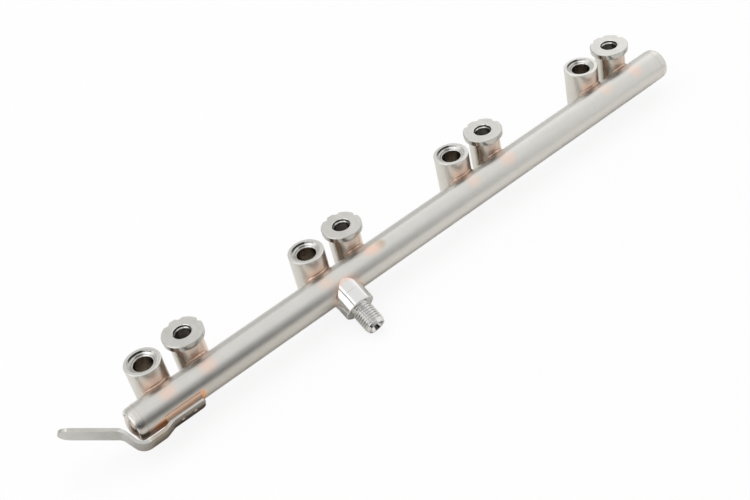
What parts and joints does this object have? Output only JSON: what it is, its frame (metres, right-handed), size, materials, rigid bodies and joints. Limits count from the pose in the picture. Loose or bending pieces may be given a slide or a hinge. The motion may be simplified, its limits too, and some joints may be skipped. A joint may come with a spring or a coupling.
{
  "type": "fuel rail",
  "caption": "Brazed stainless steel fuel rail: plugged straight tube with upright bolt bosses, flanged injector cups, an angled threaded inlet fitting and a bent stay bracket at one end.",
  "frame": {"origin": "on the axis of the first bolt hole, the one beside the stay bracket, in the flat plane of the bolt-head seats", "axes": "+X runs along the rail away from the stay bracket, +Z is the way the injector cups open, and the tube lies on the -Y side of the bolt row"},
  "size_m": [0.3507, 0.0496, 0.0317],
  "materials": {
    "tube_steel": "satin drawn stainless tube with faint heat tint",
    "turned_steel": "fine-turned satin stainless",
    "plug_steel": "turned stainless stained by copper braze",
    "polished_steel": "polished turned stainless with a cut thread",
    "strip_steel": "rolled stainless strip, satin",
    "copper_braze": "furnace copper braze, pink to brown"
  },
  "bodies": {
    "root": {"rail_tube": "tube_steel", "near_end_plug": "plug_steel", "far_end_plug": "plug_steel", "near_plug_braze": "copper_braze", "far_plug_braze": "copper_braze", "mounting_boss_1": "turned_steel", "boss_braze_1": "copper_braze", "injector_cup_1": "turned_steel", "cup_braze_1": "copper_braze", "mounting_boss_2": "turned_steel", "boss_braze_2": "copper_braze", "injector_cup_2": "turned_steel", "cup_braze_2": "copper_braze", "mounting_boss_3": "turned_steel", "boss_braze_3": "copper_braze", "injector_cup_3": "turned_steel", "cup_braze_3": "copper_braze", "mounting_boss_4": "turned_steel", "boss_braze_4": "copper_braze", "injector_cup_4": "turned_steel", "cup_braze_4": "copper_braze", "inlet_fitting": "polished_steel", "inlet_braze": "copper_braze", "stay_bracket": "strip_steel", "bracket_braze": "copper_braze"}
  },
  "joints": []
}
